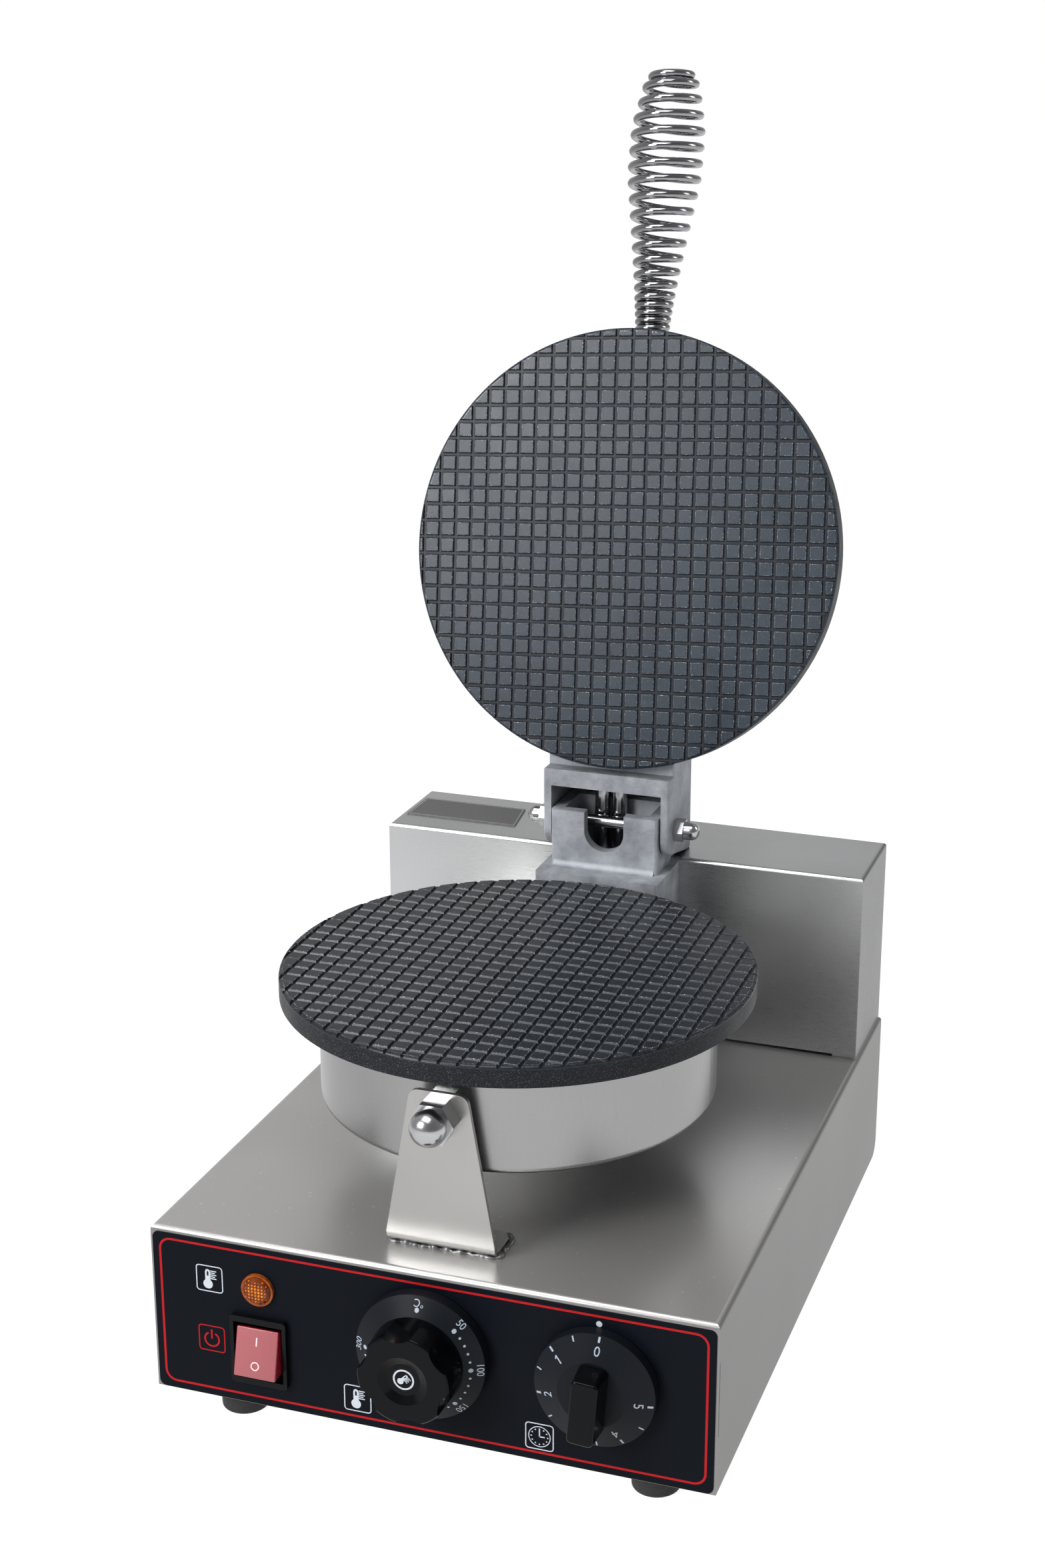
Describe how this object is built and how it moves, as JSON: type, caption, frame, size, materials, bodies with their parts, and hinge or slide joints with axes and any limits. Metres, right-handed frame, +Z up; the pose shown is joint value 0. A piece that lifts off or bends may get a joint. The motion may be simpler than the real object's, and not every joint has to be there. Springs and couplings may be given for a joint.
{
  "type": "electric krumkake iron",
  "caption": "Single round waffle-cone iron: hinged lid plate and lower plate on a boxed stand with rear housing, dials, rocker switch, lamp and coil handle.",
  "frame": {"origin": "under the middle of the footprint (lid open), at the height of the feet's undersides", "axes": "+X to the right seen from the panel, +Y from the panel to the rear housing, +Z up"},
  "size_m": [0.25, 0.3592, 0.5594],
  "materials": {
    "sheet_steel": "satin",
    "film": "glossy",
    "cast_iron_plate": "matte",
    "pan_steel": "satin",
    "cast_aluminium": "satin",
    "zinc_steel": "polished",
    "chrome": "polished",
    "black_plastic": "matte",
    "red_plastic": "glossy",
    "amber_lens": "glossy",
    "rubber": "matte",
    "wool": "matte",
    "lead_sleeve": "matte",
    "heater_steel": "satin",
    "brass": "satin",
    "nylon": "matte"
  },
  "bodies": {
    "stand": {"base_shell": "sheet_steel", "bottom_plate": "sheet_steel", "bottom_screws": "zinc_steel", "bracket_cap_nut": "chrome", "bracket_inner_nut": "zinc_steel", "bracket_screws": "zinc_steel", "bracket_spacer_nut": "zinc_steel", "bracket_stud": "zinc_steel", "cable_gland": "black_plastic", "control_film": "film", "feet": "rubber", "foot_nuts": "zinc_steel", "foot_screws": "zinc_steel", "front_bracket": "sheet_steel", "gland_nut": "black_plastic", "heater_leads": "lead_sleeve", "hinge_base": "cast_aluminium", "hinge_base_screws": "zinc_steel", "housing_screws": "zinc_steel", "indicator_body": "black_plastic", "indicator_lens": "amber_lens", "lower_element": "heater_steel", "lower_insulation": "wool", "lower_leads": "lead_sleeve", "lower_pan": "pan_steel", "lower_plate": "cast_iron_plate", "lower_plate_stud": "zinc_steel", "lower_reflector": "pan_steel", "lower_stud_nut": "zinc_steel", "rear_housing": "sheet_steel", "switch_body": "black_plastic", "terminal_block": "nylon", "thermostat_body": "nylon", "thermostat_bulb": "brass", "timer_body": "nylon"},
    "lid": {"upper_plate": "cast_iron_plate", "upper_pan": "pan_steel", "upper_element": "heater_steel", "upper_reflector": "pan_steel", "upper_insulation": "wool", "upper_plate_stud": "zinc_steel", "upper_stud_nut": "zinc_steel", "hinge_fork": "cast_aluminium", "fork_screws": "zinc_steel", "hinge_pin": "zinc_steel", "hinge_nuts": "zinc_steel", "hinge_cap_nuts": "zinc_steel", "handle_rod": "zinc_steel", "handle_nut": "zinc_steel", "handle_spring": "chrome"},
    "thermostat_dial": {"thermostat_knob": "black_plastic", "thermostat_spindle": "zinc_steel"},
    "timer_dial": {"timer_knob": "black_plastic", "timer_spindle": "zinc_steel"},
    "power_rocker": {"switch_rocker": "red_plastic"}
  },
  "joints": [
    {"name": "lid_hinge", "type": "hinge", "parent": "stand", "child": "lid", "pos_m": [0, 0.09086, 0.2056], "axis": [1, 0, 0], "range_deg": [0, 103.4], "deforming": ["heater_leads"]},
    {"name": "thermostat_turn", "type": "hinge", "parent": "stand", "child": "thermostat_dial", "pos_m": [0, -0.15465, 0.057], "axis": [0, 1, 0], "range_deg": [-276, 0]},
    {"name": "timer_turn", "type": "hinge", "parent": "stand", "child": "timer_dial", "pos_m": [0.0752, -0.15465, 0.057], "axis": [0, 1, 0], "range_deg": [0, 269]},
    {"name": "rocker_tilt", "type": "hinge", "parent": "stand", "child": "power_rocker", "pos_m": [-0.0752, -0.15465, 0.042], "axis": [1, 0, 0], "range_deg": [0, 26.8]}
  ]
}
